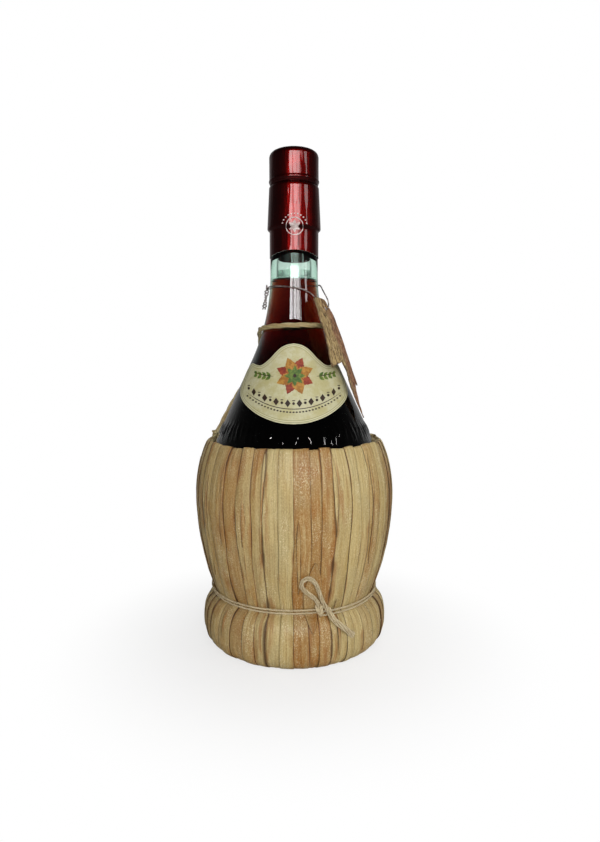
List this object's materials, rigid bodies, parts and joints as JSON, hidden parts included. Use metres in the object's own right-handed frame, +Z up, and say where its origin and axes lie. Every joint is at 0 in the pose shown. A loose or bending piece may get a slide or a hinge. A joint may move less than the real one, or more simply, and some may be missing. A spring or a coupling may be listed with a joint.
{
  "type": "straw-covered wine flask",
  "caption": "Round-bellied glass wine flask in a basket of upright straw strips, with capsule, stopper, label and a hanging leaf-shaped tag.",
  "frame": {"origin": "centre of the circle the basket stands on, on the ground, under the neck's axis", "axes": "+Z up along the neck, -Y towards the viewer of the label, +X to the viewer's right"},
  "size_m": [0.1138, 0.1138, 0.279],
  "materials": {
    "glass": "clear pale green bottle glass, moulded, glossy",
    "wine": "deep red wine, stands for a liquid",
    "stopper_plastic": "dark plastic head of the stopper",
    "cork": "natural cork",
    "foil": "dark red shrunk metallic capsule, glossy, with fine creases",
    "paper": "cream label paper with a printed border and ornament",
    "wire": "thin dark steel wire",
    "parchment": "mottled brown parchment card with torn edges",
    "straw_cord": "twisted marsh-grass cord",
    "straw": "flattened dry marsh-grass strips, fibres upright, some stained brown",
    "twine": "cream raffia twine"
  },
  "bodies": {
    "root": {"glass_bottle": "glass", "wine": "wine", "capsule_skirt": "foil", "label": "paper", "neck_cord": "straw_cord", "rim_hoop": "straw_cord", "girth_cord_lower": "straw_cord", "girth_cord_upper": "straw_cord", "base_ring": "straw", "base_pad": "straw", "waist_tie": "twine", "bow_cord": "twine", "straw_strip_01": "straw", "straw_strip_02": "straw", "straw_strip_03": "straw", "straw_strip_04": "straw", "straw_strip_05": "straw", "straw_strip_06": "straw", "straw_strip_07": "straw", "straw_strip_08": "straw", "straw_strip_09": "straw", "straw_strip_10": "straw", "straw_strip_11": "straw", "straw_strip_12": "straw", "straw_strip_13": "straw", "straw_strip_14": "straw", "straw_strip_15": "straw", "straw_strip_16": "straw", "straw_strip_17": "straw", "straw_strip_18": "straw", "straw_strip_19": "straw", "straw_strip_20": "straw", "straw_strip_21": "straw", "straw_strip_22": "straw", "straw_strip_23": "straw", "straw_strip_24": "straw", "straw_strip_25": "straw", "straw_strip_26": "straw", "straw_strip_27": "straw", "straw_strip_28": "straw", "straw_strip_29": "straw", "straw_strip_30": "straw", "straw_strip_31": "straw", "straw_strip_32": "straw", "straw_strip_33": "straw", "straw_strip_34": "straw", "straw_strip_35": "straw", "straw_strip_36": "straw"},
    "stopper": {"stopper_head": "stopper_plastic", "cork_shank": "cork", "capsule_top": "foil"},
    "wire": {"tag_wire_loop": "wire"},
    "tag": {"tag_wire_bight": "wire", "tag_card": "parchment"}
  },
  "joints": [
    {"name": "stopper_pull", "type": "slide", "parent": "root", "child": "stopper", "axis": [0, 0, 1], "range_m": [0, 0.045]},
    {"name": "wire_turn", "type": "hinge", "parent": "root", "child": "wire", "pos_m": [0, 0, 0.2], "axis": [0, 0, 1], "range_deg": [-130, 150]},
    {"name": "tag_lift", "type": "hinge", "parent": "wire", "child": "tag", "pos_m": [0.01242, -0.00698, 0.2022], "axis": [-0.5282, -0.8042, -0.2725], "range_deg": [0, 80]}
  ]
}
